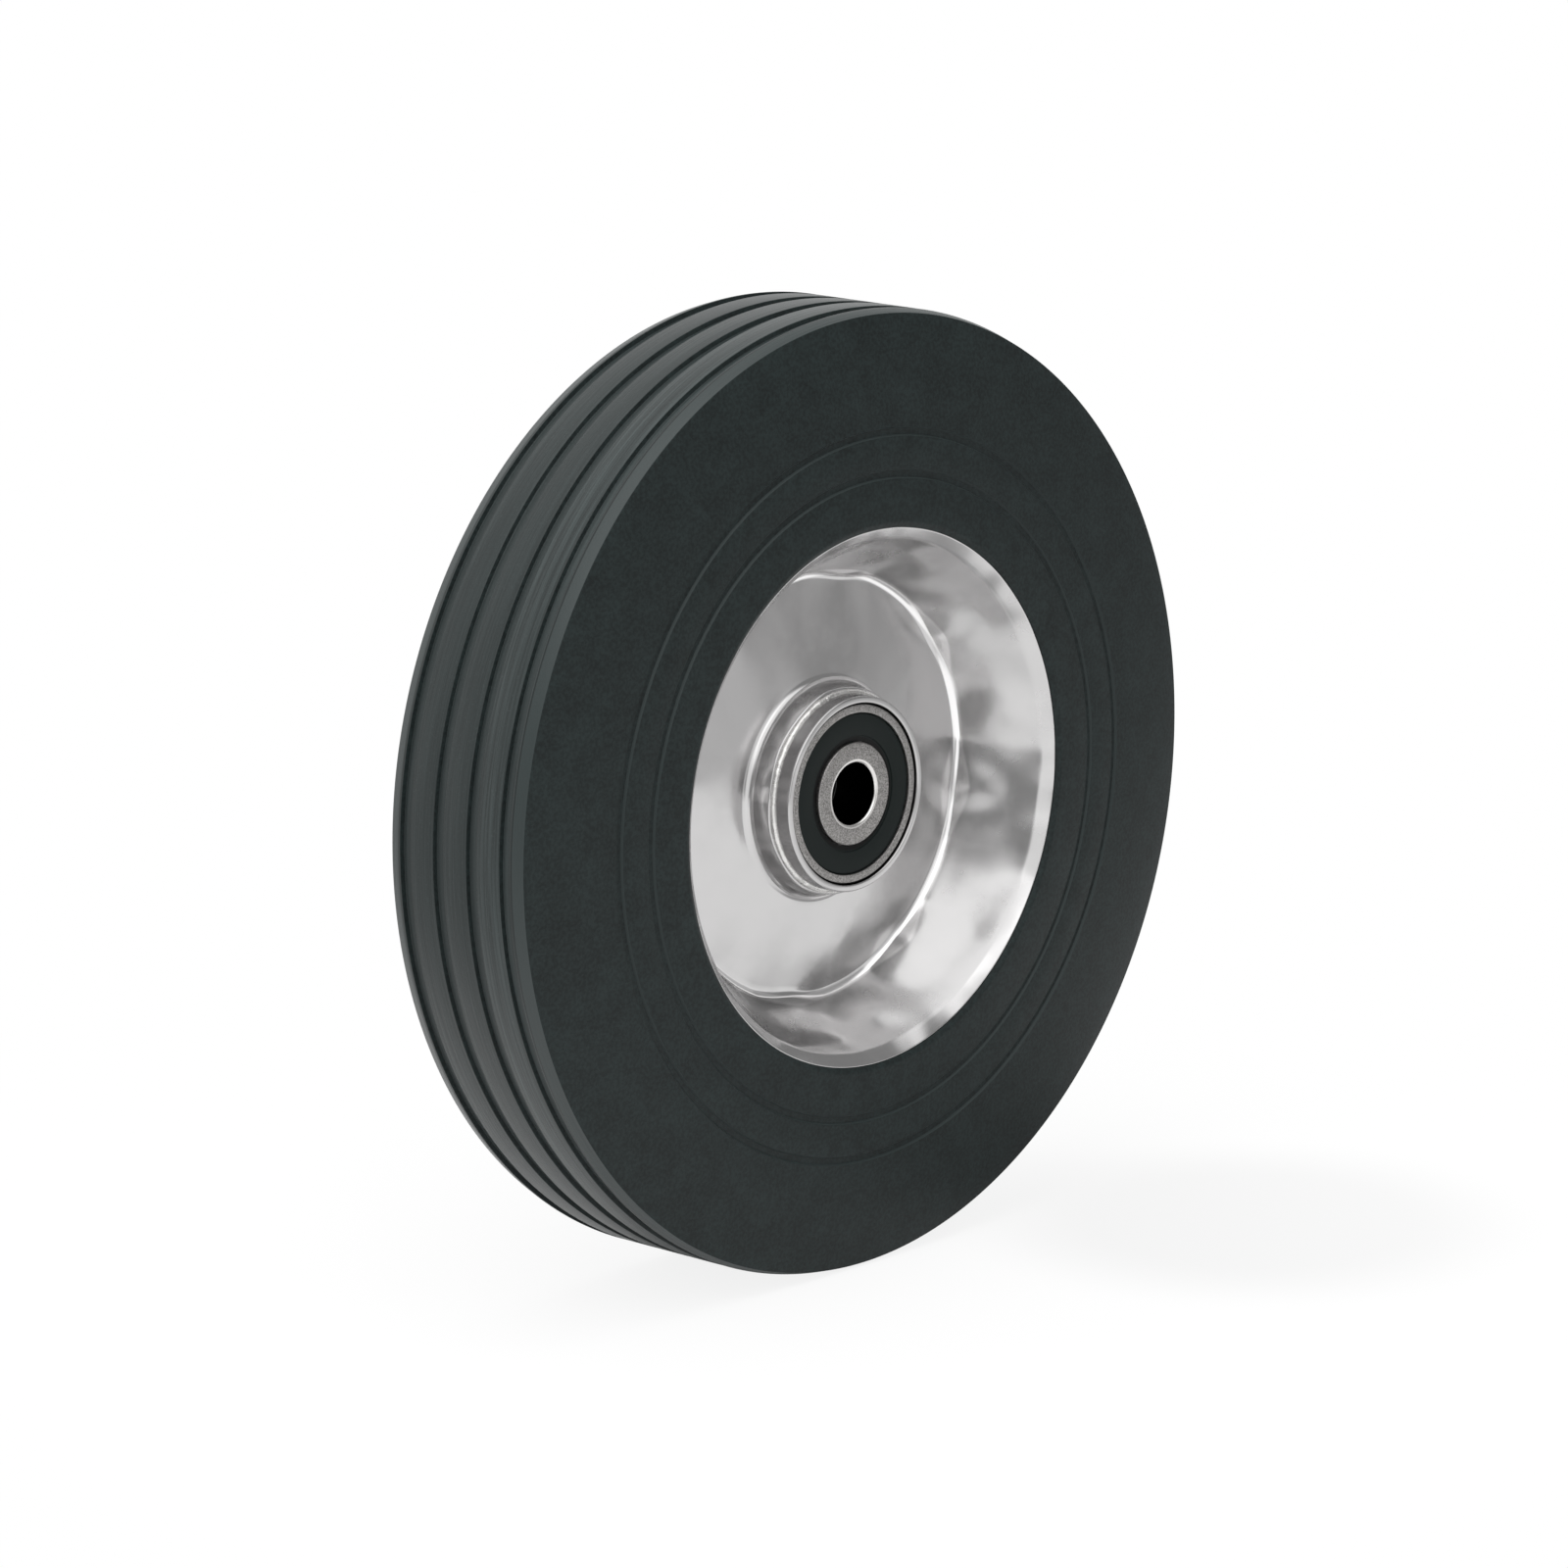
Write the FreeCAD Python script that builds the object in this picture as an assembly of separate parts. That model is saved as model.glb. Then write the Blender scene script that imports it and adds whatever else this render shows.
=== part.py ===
import FreeCAD, Part
import math
import os

# A solid rubber wheel for a hand truck: a grooved tyre clamped between two pressed steel dishes,
# which are welded to a hub tube that holds a sealed ball bearing in each end.
# The origin is the wheel's centre, the wheel turns about Y, and the front side faces -Y.
# Profiles are lists of (radius, height, rounding) corners, where height is measured along Y.

Vector = FreeCAD.Vector
CENTRE = Vector(0, 0, 0)
SPIN_AXIS = Vector(0, 1, 0)

# Bearing, a standard 47 x 14 size with an inch bore
AXLE_BORE = 15.9
BEARING_DIAMETER = 47.0
BEARING_WIDTH = 14.0
BALL_COUNT = 8
BALL_DIAMETER = 7.938
BALL_PITCH_DIAMETER = 33.5
BALL_GAP = 0.06
RING_SPACE = 5.0
RING_ROUNDING = 0.9
BORE_ROUNDING = 0.8

# Bearing seals, rubber over a steel washer
SEAL_LAND_RADIUS = 13.33
SEAL_MOUTH_RADIUS = 20.95
SEAL_GROOVE_DEPTH = 0.7
SEAL_RECESS = 0.5
SEAL_THICKNESS = 1.0
SEAL_LIP_WIDTH = 1.6
SEAL_STEP = 0.35
SEAL_FIT = 0.08
SEAL_LIP_GAP = 0.12

# Ball cage, two pressed ribbons held by rivets
CAGE_SHEET = 0.7
CAGE_WIDTH = 3.0
CAGE_GAP = 0.1
RIVET_DIAMETER = 1.4
RIVET_HEAD_DIAMETER = 2.2
RIVET_HEAD_HEIGHT = 0.45
RIVET_FIT = 0.05

# Hub tube and the sleeve inside it
TUBE_LENGTH = 39.2
TUBE_PROUD = 5.4
TUBE_WALL = 1.8
TUBE_EDGE_ROUNDING = 0.5
SEAT_SHOULDER = 2.2
SEAT_FIT = 0.02
BEARING_RECESS = 0.6
SPACER_WALL = 3.6
SPACER_BORE_CLEARANCE = 0.2

# Pressed dish, whose visible face runs from the lip down the wall and across the disc to the neck
SHEET = 1.6
LIP_RADIUS = 69.3
LIP_HEIGHT = 27.0
FLARE_WIDTH = 3.0
FLARE_DROP = 2.5
FLARE_ROUNDING = 3.0
BEND_RADIUS = 55.4
DISC_RIM_HEIGHT = 4.4
BEND_ROUNDING = 1.6
DISC_HUB_HEIGHT = 7.8
NECK_TAPER = 0.8
NECK_ROUNDING = 1.8
NECK_FIT = 0.1
SHEET_EDGE_ROUNDING = 0.5
WELD_LEG = 1.0

# Dents that key the dish into the rubber
DENT_COUNT = 8
DENT_PHASE = -9.9
DENT_SPHERE_RADIUS = 14.0
DENT_RISE = 1.6
DENT_FROM_BEND = 4.2

# Tyre
TYRE_DIAMETER = 248.4
TREAD_WIDTH = 45.4
SHOULDER_WIDTH = 3.2
SHOULDER_DROP = 1.0
TYRE_BORE_STEP = 2.6
TYRE_FIT = 0.1
LIP_EDGE_GAP = 0.1
BEAD_RISE = 0.8
BEAD_SLOPE = 1.4
BEAD_ROUNDING = 0.8
SIDE_FLAT_WIDTH = 26.0
SIDE_FALL = 1.4
SIDE_CROWN = 0.75
SIDE_BLEND = 0.57
CHANNEL_COUNT = 2
CHANNEL_OFFSET = 13.7
CHANNEL_PITCH = 10.7
CHANNEL_MOUTH = 2.4
CHANNEL_FLOOR = 1.6
CHANNEL_DEPTH = 0.6
CHANNEL_ROUNDING = 0.2
GROOVE_COUNT = 4
GROOVE_PITCH = 11.4
GROOVE_MOUTH = 3.6
GROOVE_FLOOR = 2.6
GROOVE_DEPTH = 1.1
GROOVE_ROUNDING = 0.3

# Values that several pieces share
ball_radius = BALL_DIAMETER / 2
pitch_radius = BALL_PITCH_DIAMETER / 2
inner_shoulder_radius = pitch_radius - RING_SPACE / 2
outer_shoulder_radius = pitch_radius + RING_SPACE / 2
bearing_half = BEARING_WIDTH / 2
bearing_centre = TUBE_LENGTH / 2 - BEARING_RECESS - bearing_half
seat_radius = BEARING_DIAMETER / 2 + SEAT_FIT
tube_radius = seat_radius + TUBE_WALL
neck_radius = tube_radius + NECK_FIT + SHEET
neck_height = TUBE_LENGTH / 2 - TUBE_PROUD


def round_corner(before, corner, after, radius):
    """Start, middle and end of the arc that rounds a corner, all at the corner where it is sharp."""
    if radius == 0:
        return corner, corner, corner
    back = (before - corner).normalize()
    ahead = (after - corner).normalize()
    half_angle = back.getAngle(ahead) / 2
    setback = radius / math.tan(half_angle)
    bisector = (back + ahead).normalize()
    middle = corner + bisector * (radius / math.sin(half_angle) - radius)
    return corner + back * setback, middle, corner + ahead * setback


def turned(corners):
    """Solid of revolution about Y inside the closed outline of the corners."""
    points = [Vector(radius, height, 0) for radius, height, rounding in corners]
    arcs = []
    for i, corner in enumerate(points):
        after = points[(i + 1) % len(points)]
        arcs.append(round_corner(points[i - 1], corner, after, corners[i][2]))
    edges = []
    for i, (start, middle, end) in enumerate(arcs):
        edges.append(Part.LineSegment(arcs[i - 1][2], start).toShape())
        if corners[i][2] > 0:
            edges.append(Part.Arc(start, middle, end).toShape())
    solid = Part.Face(Part.Wire(edges)).revolve(CENTRE, SPIN_AXIS, 360)
    if solid.Volume < 0:
        solid.reverse()
    return solid


def washer(inner_radius, outer_radius, low, high):
    """Plain turned ring with square edges."""
    return turned([
        (inner_radius, low, 0),
        (outer_radius, low, 0),
        (outer_radius, high, 0),
        (inner_radius, high, 0),
    ])


def beside(corners, depth):
    """The line of corners moved to its left by a depth, with its roundings kept concentric."""
    points = [Vector(radius, height, 0) for radius, height, rounding in corners]
    headings = [(b - a).normalize() for a, b in zip(points, points[1:])]
    moved = []
    for i, point in enumerate(points):
        heading_in = headings[max(i - 1, 0)]
        heading_out = headings[min(i, len(headings) - 1)]
        left_in = Vector(-heading_in.y, heading_in.x, 0)
        left_out = Vector(-heading_out.y, heading_out.x, 0)
        shift = (left_in + left_out) * (depth / (1 + left_in.dot(left_out)))
        rounding = corners[i][2]
        if rounding > 0:
            rounding -= math.copysign(depth, heading_in.cross(heading_out).z)
        moved.append((point.x + shift.x, point.y + shift.y, rounding))
    return moved


def around(radius, count, phase=0.0):
    """Points evenly spaced on a circle about the wheel's axis."""
    angles = [math.radians(phase + 360 * i / count) for i in range(count)]
    return [Vector(radius * math.cos(a), 0, radius * math.sin(a)) for a in angles]


def mirrored(shape):
    """The same piece on the front side of the wheel."""
    return shape.mirror(CENTRE, SPIN_AXIS)


# The dish's visible face, without the rounded cut edges at its two ends
dish_face = [
    (LIP_RADIUS, LIP_HEIGHT, 0),
    (LIP_RADIUS - FLARE_WIDTH, LIP_HEIGHT - FLARE_DROP, FLARE_ROUNDING),
    (BEND_RADIUS, DISC_RIM_HEIGHT, BEND_ROUNDING),
    (neck_radius + NECK_TAPER, DISC_HUB_HEIGHT, NECK_ROUNDING),
    (neck_radius, neck_height, 0),
]

# Centre of the sphere behind the wall whose cap is a dent
flare_foot = Vector(dish_face[1][0], dish_face[1][1], 0)
bend = Vector(dish_face[2][0], dish_face[2][1], 0)
up_wall = (flare_foot - bend).normalize()
out_of_wall = Vector(-up_wall.y, up_wall.x, 0)
dent_seat = bend + up_wall * DENT_FROM_BEND - out_of_wall * (DENT_SPHERE_RADIUS - DENT_RISE)


def dent_spheres(radius):
    """A ball of the given radius behind each dent."""
    spheres = []
    for place in around(dent_seat.x, DENT_COUNT, DENT_PHASE):
        spheres.append(Part.makeSphere(radius, place + SPIN_AXIS * dent_seat.y))
    return spheres


def hub_disc():
    """Pressed sheet of even thickness, with the dents pushed through to its visible side."""
    face = [(r, y, rounding or SHEET_EDGE_ROUNDING) for r, y, rounding in dish_face]
    sheet = turned(face + beside(dish_face, SHEET)[::-1])
    hollow = turned(dish_face + [(0, neck_height, 0), (0, LIP_HEIGHT, 0)])
    caps = [sphere.common(hollow) for sphere in dent_spheres(DENT_SPHERE_RADIUS)]
    return sheet.fuse(caps).cut(dent_spheres(DENT_SPHERE_RADIUS - SHEET)).removeSplitter()


def hub_tube():
    """Tube with a counterbored bearing seat at each end."""
    end = TUBE_LENGTH / 2
    stop = bearing_centre - bearing_half
    half = [
        (seat_radius - SEAT_SHOULDER, stop, 0),
        (seat_radius, stop, 0),
        (seat_radius, end, TUBE_EDGE_ROUNDING),
        (tube_radius, end, TUBE_EDGE_ROUNDING),
    ]
    return turned(half + [(r, -y, rounding) for r, y, rounding in half[::-1]])


def weld_bead():
    """Fillet of weld in the corner between the neck's edge and the tube."""
    foot = tube_radius + SEAT_FIT
    return turned([
        (foot, neck_height, 0),
        (foot + WELD_LEG, neck_height, 0),
        (foot + WELD_LEG, neck_height + WELD_LEG / 3, 0),
        (foot + WELD_LEG / 3, neck_height + WELD_LEG, 0),
        (foot, neck_height + WELD_LEG, 0),
    ])


def cutter(middle, across, mouth, floor, depth, rounding):
    """Ring that cuts a groove: its mouth lies across the surface, and its depth is on the left of that."""
    into = Vector(-across.y, across.x, 0)
    outline = [
        (-floor / 2, depth, rounding),
        (-mouth / 2, 0, 0),
        (-mouth / 2, -depth, 0),
        (mouth / 2, -depth, 0),
        (mouth / 2, 0, 0),
        (floor / 2, depth, rounding),
    ]
    points = [(middle + across * along + into * deep, corner) for along, deep, corner in outline]
    return turned([(point.x, point.y, corner) for point, corner in points])


def tyre():
    """Rubber ring moulded to the backs of both dishes, with grooves and a knob for each dent."""
    back = beside(dish_face[:3], SHEET + TYRE_FIT)
    (lip_r, lip_y, _), (flare_r, flare_y, flare_round), (bend_r, bend_y, _) = back
    bore_radius = BEND_RADIUS + TYRE_BORE_STEP
    bore_y = bend_y + (bore_radius - bend_r) * (flare_y - bend_y) / (flare_r - bend_r)
    lip_end = Vector(LIP_RADIUS, LIP_HEIGHT, 0)
    past_lip = (lip_end - flare_foot).normalize() * LIP_EDGE_GAP
    bead_y = LIP_HEIGHT + BEAD_RISE
    tread_radius = TYRE_DIAMETER / 2
    bead = Vector(LIP_RADIUS + BEAD_SLOPE, bead_y, 0)
    side_foot = Vector(LIP_RADIUS + SIDE_FLAT_WIDTH, bead_y - SIDE_FALL, 0)
    side_edge = Vector(tread_radius - SHOULDER_DROP, TREAD_WIDTH / 2, 0)
    crown = (side_foot + side_edge) / 2 + SPIN_AXIS * SIDE_CROWN
    crown_rounding = SIDE_BLEND * (crown - side_foot).Length ** 2 / SIDE_CROWN
    half = [
        (bore_radius, bore_y, 0),
        (flare_r, flare_y, flare_round),
        (lip_r + past_lip.x, lip_y + past_lip.y, 0),
        (lip_end.x + past_lip.x, lip_end.y + past_lip.y, 0),
        (bead.x, bead.y, BEAD_ROUNDING),
        (side_foot.x, side_foot.y, 0),
        (crown.x, crown.y, crown_rounding),
        (side_edge.x, side_edge.y, 0),
        (tread_radius, TREAD_WIDTH / 2 - SHOULDER_WIDTH, 0),
    ]
    body = turned(half + [(r, -y, rounding) for r, y, rounding in half[::-1]])
    cutters = []
    for i in range(GROOVE_COUNT):
        middle = Vector(tread_radius, (i - (GROOVE_COUNT - 1) / 2) * GROOVE_PITCH, 0)
        cutters.append(cutter(middle, SPIN_AXIS, GROOVE_MOUTH, GROOVE_FLOOR, GROOVE_DEPTH, GROOVE_ROUNDING))
    inwards = (bead - side_foot).normalize()
    for i in range(CHANNEL_COUNT):
        middle = bead - inwards * (CHANNEL_OFFSET - BEAD_SLOPE + i * CHANNEL_PITCH)
        channel = cutter(middle, inwards, CHANNEL_MOUTH, CHANNEL_FLOOR, CHANNEL_DEPTH, CHANNEL_ROUNDING)
        cutters += [channel, mirrored(channel)]
    rear_knobs = dent_spheres(DENT_SPHERE_RADIUS - SHEET - TYRE_FIT)
    knobs = rear_knobs + [mirrored(knob) for knob in rear_knobs]
    return body.cut(cutters).fuse(knobs).removeSplitter()


def bearing_spacer():
    """Sleeve that keeps the two inner rings apart."""
    bore = AXLE_BORE / 2 + SPACER_BORE_CLEARANCE
    reach = bearing_centre - bearing_half
    return washer(bore, bore + SPACER_WALL, -reach, reach)


def raceway():
    """Ring-shaped space that the balls run in, cut from both rings of a bearing."""
    return Part.makeTorus(pitch_radius, ball_radius + BALL_GAP, CENTRE, SPIN_AXIS)


seal_face = bearing_half - SEAL_RECESS
seal_back = seal_face - SEAL_THICKNESS
seal_bead_top = seal_face - SEAL_STEP
seal_groove_radius = SEAL_MOUTH_RADIUS + SEAL_GROOVE_DEPTH


def outer_ring():
    """Outer ring with its raceway and a groove at each face for a seal's bead."""
    half = [
        (outer_shoulder_radius, seal_back - SEAL_FIT, 0),
        (seal_groove_radius, seal_back - SEAL_FIT, 0),
        (seal_groove_radius, seal_bead_top + SEAL_FIT, 0),
        (SEAL_MOUTH_RADIUS, seal_bead_top + SEAL_FIT, 0),
        (SEAL_MOUTH_RADIUS, bearing_half, 0),
        (BEARING_DIAMETER / 2, bearing_half, RING_ROUNDING),
    ]
    blank = turned(half + [(r, -y, rounding) for r, y, rounding in half[::-1]])
    return blank.cut(raceway())


def inner_ring():
    """Inner ring with its raceway, a land at each face for a seal's lip, and the axle bore."""
    half = [
        (AXLE_BORE / 2, bearing_half, BORE_ROUNDING),
        (SEAL_LAND_RADIUS, bearing_half, RING_ROUNDING / 2),
        (SEAL_LAND_RADIUS, seal_back - SEAL_LIP_GAP, 0),
        (inner_shoulder_radius, seal_back - SEAL_LIP_GAP, 0),
    ]
    blank = turned(half + [(r, -y, rounding) for r, y, rounding in half[::-1]])
    return blank.cut(raceway())


def seal():
    """Washer whose outer bead sits in the outer ring's groove and whose lip runs on the inner ring."""
    lip_radius = SEAL_LAND_RADIUS + SEAL_LIP_GAP
    bead_radius = seal_groove_radius - SEAL_FIT
    mouth = SEAL_MOUTH_RADIUS - SEAL_FIT
    return turned([
        (lip_radius, seal_back, 0),
        (lip_radius, seal_bead_top, 0),
        (lip_radius + SEAL_LIP_WIDTH, seal_bead_top, 0),
        (lip_radius + SEAL_LIP_WIDTH, seal_face, 0),
        (mouth - SEAL_STEP, seal_face, 0),
        (mouth, seal_bead_top, 0),
        (bead_radius, seal_bead_top, 0),
        (bead_radius, seal_back, 0),
    ])


ball_places = around(pitch_radius, BALL_COUNT)
rivet_places = around(pitch_radius, BALL_COUNT, 180 / BALL_COUNT)


def cage_half():
    """Ribbon on one side of the balls, bulged round each ball and flat where the rivets go."""
    pocket = ball_radius + CAGE_GAP
    inner = pitch_radius - CAGE_WIDTH / 2
    outer = pitch_radius + CAGE_WIDTH / 2
    ribbon = washer(inner, outer, 0, CAGE_SHEET)
    band = washer(inner, outer, 0, pocket + 2 * CAGE_SHEET)
    bulges = [Part.makeSphere(pocket + CAGE_SHEET, place).common(band) for place in ball_places]
    pockets = [Part.makeSphere(pocket, place) for place in ball_places]
    holes = []
    for place in rivet_places:
        holes.append(Part.makeCylinder(RIVET_DIAMETER / 2 + RIVET_FIT, CAGE_SHEET, place, SPIN_AXIS))
    return ribbon.fuse(bulges).cut(pockets + holes).removeSplitter()


def cage_rivets():
    """One rivet between each two balls, with a head on each ribbon."""
    shank = RIVET_DIAMETER / 2
    head = RIVET_HEAD_DIAMETER / 2
    top = CAGE_SHEET + RIVET_HEAD_HEIGHT
    half = [(shank, CAGE_SHEET, 0), (head, CAGE_SHEET, 0), (head, top, RIVET_HEAD_HEIGHT / 2), (0, top, 0)]
    rivet = turned(half + [(r, -y, rounding) for r, y, rounding in half[::-1]])
    return Part.makeCompound([rivet.translated(place) for place in rivet_places])


def bearing():
    """Every piece of one bearing about its own centre, with its outer face towards +Y."""
    pieces = {
        "outer_ring": outer_ring(),
        "inner_ring": inner_ring(),
        "outer_seal": seal(),
        "inner_seal": mirrored(seal()),
        "cage_outer_half": cage_half(),
        "cage_inner_half": mirrored(cage_half()),
        "cage_rivets": cage_rivets(),
    }
    for number, place in enumerate(ball_places, 1):
        pieces[f"ball_{number}"] = Part.makeSphere(ball_radius, place)
    return pieces


nodes = {
    "tyre": tyre(),
    "hub_tube": hub_tube(),
    "bearing_spacer": bearing_spacer(),
    "rear_hub_disc": hub_disc(),
    "rear_weld_bead": weld_bead(),
}
for name, piece in bearing().items():
    nodes[f"rear_{name}"] = piece.translated(SPIN_AXIS * bearing_centre)
for name in [name for name in nodes if name.startswith("rear_")]:
    nodes[name.replace("rear_", "front_")] = mirrored(nodes[name])

os.makedirs("parts", exist_ok=True)
for name, piece in nodes.items():
    piece.exportStep(f"parts/{name}.step")
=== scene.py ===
import math

import bmesh
import bpy
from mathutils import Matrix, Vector


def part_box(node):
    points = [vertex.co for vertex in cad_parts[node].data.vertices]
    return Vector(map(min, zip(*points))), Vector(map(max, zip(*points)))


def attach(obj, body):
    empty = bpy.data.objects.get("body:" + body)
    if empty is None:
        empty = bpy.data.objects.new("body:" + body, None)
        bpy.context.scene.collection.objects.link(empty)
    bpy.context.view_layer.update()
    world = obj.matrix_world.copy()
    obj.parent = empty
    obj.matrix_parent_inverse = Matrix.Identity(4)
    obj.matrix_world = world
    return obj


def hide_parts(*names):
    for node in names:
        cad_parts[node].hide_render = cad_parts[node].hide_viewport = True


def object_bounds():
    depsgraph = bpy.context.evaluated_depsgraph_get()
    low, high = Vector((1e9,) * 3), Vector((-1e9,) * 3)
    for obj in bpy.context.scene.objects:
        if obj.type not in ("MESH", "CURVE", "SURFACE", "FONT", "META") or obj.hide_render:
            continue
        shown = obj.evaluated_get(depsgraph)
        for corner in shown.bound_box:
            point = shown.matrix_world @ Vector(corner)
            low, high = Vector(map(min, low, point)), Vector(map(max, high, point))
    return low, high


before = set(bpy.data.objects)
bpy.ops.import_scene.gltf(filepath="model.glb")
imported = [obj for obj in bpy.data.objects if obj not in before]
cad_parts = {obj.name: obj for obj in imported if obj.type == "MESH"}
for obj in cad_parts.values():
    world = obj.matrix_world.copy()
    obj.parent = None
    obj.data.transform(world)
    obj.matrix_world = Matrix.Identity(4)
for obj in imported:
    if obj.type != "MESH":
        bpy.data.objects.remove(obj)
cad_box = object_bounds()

# Hub discs: two steel blanks pressed into dishes, polished and bright plated, one on each side.
# A flared lip holds the rubber, eight soft dents at the foot of the wall key into it, and a drawn
# neck in the middle is welded to the hub tube. The wheel's sizes are in millimetres.
MM = 0.001
both_sides = (("front", -1), ("rear", 1))
sheet = 1.6
lip_radius = 69.3
lip_height = 27.0
flare_width = 3.0
flare_drop = 2.5
bend_radius = 55.4
rim_height = 4.4
neck_foot_radius = 27.82
neck_foot_height = 7.8
neck_radius = 27.02
neck_height = 14.2
# Each corner of an outline is its radius, its height along the axle and the setback of its rounding.
dish_face = [
    (lip_radius, lip_height, 0.4),
    (lip_radius - flare_width, lip_height - flare_drop, 0.7),
    (bend_radius, rim_height, 1.4),
    (neck_foot_radius, neck_foot_height, 2.0),
    (neck_radius, neck_height, 0.5),
]
back_setbacks = (0, 0.4, 2.6, 2.6, 0)
dent_count = 8
dent_phase = math.radians(-9.9)
dent_rise = 1.6
dent_from_bend = 4.0
dent_half_width = 10.0
dent_half_length = 12.5
dent_crest_round = 4.5
dent_flank_power = 1.5
dish_steps = 480
long_run = 6.0
long_run_cuts = 18


def turned_mesh(corners, steps):
    """Closed outline of corners, rounded and spun about the wheel's axis."""
    fewest_cuts = 3
    most_cuts = 12
    cuts_per_mm = 4
    mesh = bmesh.new()
    verts = [mesh.verts.new((radius * MM, height * MM, 0)) for radius, height, _ in corners]
    for vert, following in zip(verts, verts[1:] + verts[:1]):
        mesh.edges.new((vert, following))
    for vert, (_, _, setback) in zip(verts, corners):
        if setback:
            cuts = min(most_cuts, fewest_cuts + round(cuts_per_mm * setback))
            bmesh.ops.bevel(mesh, geom=[vert], offset=setback * MM, offset_type="OFFSET", segments=cuts,
                            profile=0.5, affect="VERTICES", material=-1)
    bmesh.ops.spin(mesh, geom=mesh.verts[:] + mesh.edges[:], cent=(0, 0, 0), axis=(0, 1, 0),
                   dvec=(0, 0, 0), angle=math.tau, steps=steps, use_merge=True, use_duplicate=False)
    bmesh.ops.recalc_face_normals(mesh, faces=mesh.faces)
    return mesh


def parallel(corners, depth):
    """Points of the line that runs beside the corners, on its left, at an even depth."""
    points = [Vector((radius, height)) for radius, height, _ in corners]
    runs = [(end - start).normalized() for start, end in zip(points, points[1:])]
    moved = []
    for before, point, after in zip(runs[:1] + runs, points, runs + runs[-1:]):
        left = Vector((-before.y - after.y, before.x + after.x))
        moved.append(point + left * (2 * depth / left.length_squared))
    return moved


def on_side(corners, side):
    """The corners on the rear side of the wheel as they are, or mirrored to its front side."""
    return [(radius, side * height, setback) for radius, height, setback in corners]


def press_dents(mesh, side):
    """Pushes the foot of the wall inwards at each dent, as a soft ridge that runs up the wall."""
    foot = Vector((bend_radius, rim_height))
    wall = (Vector(dish_face[1][:2]) - foot).normalized()
    spacing = math.tau / dent_count
    for vert in mesh.verts:
        radius = math.hypot(vert.co.x, vert.co.z) / MM
        up_wall = (Vector((radius, side * vert.co.y / MM)) - foot).dot(wall) - dent_from_bend
        angle = math.atan2(vert.co.z, vert.co.x) - dent_phase
        aside = radius * (angle - round(angle / spacing) * spacing)
        off_crest = (math.hypot(aside, dent_crest_round) - dent_crest_round) / dent_half_width
        off_middle = abs(up_wall) / dent_half_length
        if off_crest < 1 and off_middle < 1 and radius < lip_radius:
            push = dent_rise * (1 - off_crest) ** dent_flank_power * (1 - off_middle ** 2) ** 2
            vert.co.x -= push * wall.y * vert.co.x / radius
            vert.co.z -= push * wall.y * vert.co.z / radius
            vert.co.y += push * wall.x * side * MM


def finished_piece(name, mesh, material, body, slot, *replaced):
    """Makes a bmesh an object, smooth but for sharp corners, riding on a body in place of CAD nodes."""
    sharp_turn = math.radians(40)
    for face in mesh.faces:
        face.smooth = True
    for edge in mesh.edges:
        edge.smooth = edge.calc_face_angle(0) < sharp_turn
    data = bpy.data.meshes.new(name)
    mesh.to_mesh(data)
    mesh.free()
    piece = bpy.data.objects.new(name, data)
    bpy.context.scene.collection.objects.link(piece)
    data.materials.append(material)
    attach(piece, body)
    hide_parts(*replaced)


def linear(colour):
    """Linear RGBA of an sRGB hex colour."""
    parts = [int(colour[i:i + 2], 16) / 255 for i in (0, 2, 4)]
    return tuple(p / 12.92 if p <= 0.04045 else ((p + 0.055) / 1.055) ** 2.4 for p in parts) + (1.0,)


def add_node(tree, kind, *inputs, **settings):
    """Output of a new node whose inputs, in order or by name, take a value or another node's output."""
    made = tree.nodes.new("ShaderNode" + kind)
    named = []
    for name, value in settings.items():
        if hasattr(made, name):
            setattr(made, name, value)
        else:
            named.append((made.inputs[name], value))
    in_order = [socket for socket in made.inputs if socket.enabled]
    for socket, value in list(zip(in_order, inputs)) + named:
        if isinstance(value, bpy.types.NodeSocket):
            tree.links.new(value, socket)
        else:
            socket.default_value = value
    return next(socket for socket in made.outputs if socket.enabled)


def off_axis(tree, coords):
    """Distance from the wheel's axis, in metres."""
    flat = add_node(tree, "VectorMath", coords, (1, 0, 1), operation="MULTIPLY")
    return add_node(tree, "VectorMath", flat, operation="LENGTH")


def new_material(name):
    """Empty node material with its tree, its main shader and its Object coordinates."""
    material = bpy.data.materials.new(name)
    material.use_nodes = True
    tree = material.node_tree
    coords = tree.nodes.new("ShaderNodeTexCoord").outputs["Object"]
    return material, tree, tree.nodes["Principled BSDF"], coords


# Bright plated pressed steel: a polished mirror, wavy where the press stretched the wall and flatter on
# the disc, under a veil of polishing marks, drawn coarser than they are so that they show. The wall is a
# little duller than the disc. A painted highlight makes the edge of the bend the brightest, and the neck
# and the tube are painted a little darker than the disc, as painted shade.
wave_size = 13
wave_depth = 1.8
disc_waviness = 0.12
neck_share = 0.35
mark_size = 0.5
mark_depth = 0.02
haze_size = 11
clear_roughness = 0.11
hazy_roughness = 0.22
wall_dulling = 0.08
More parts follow.
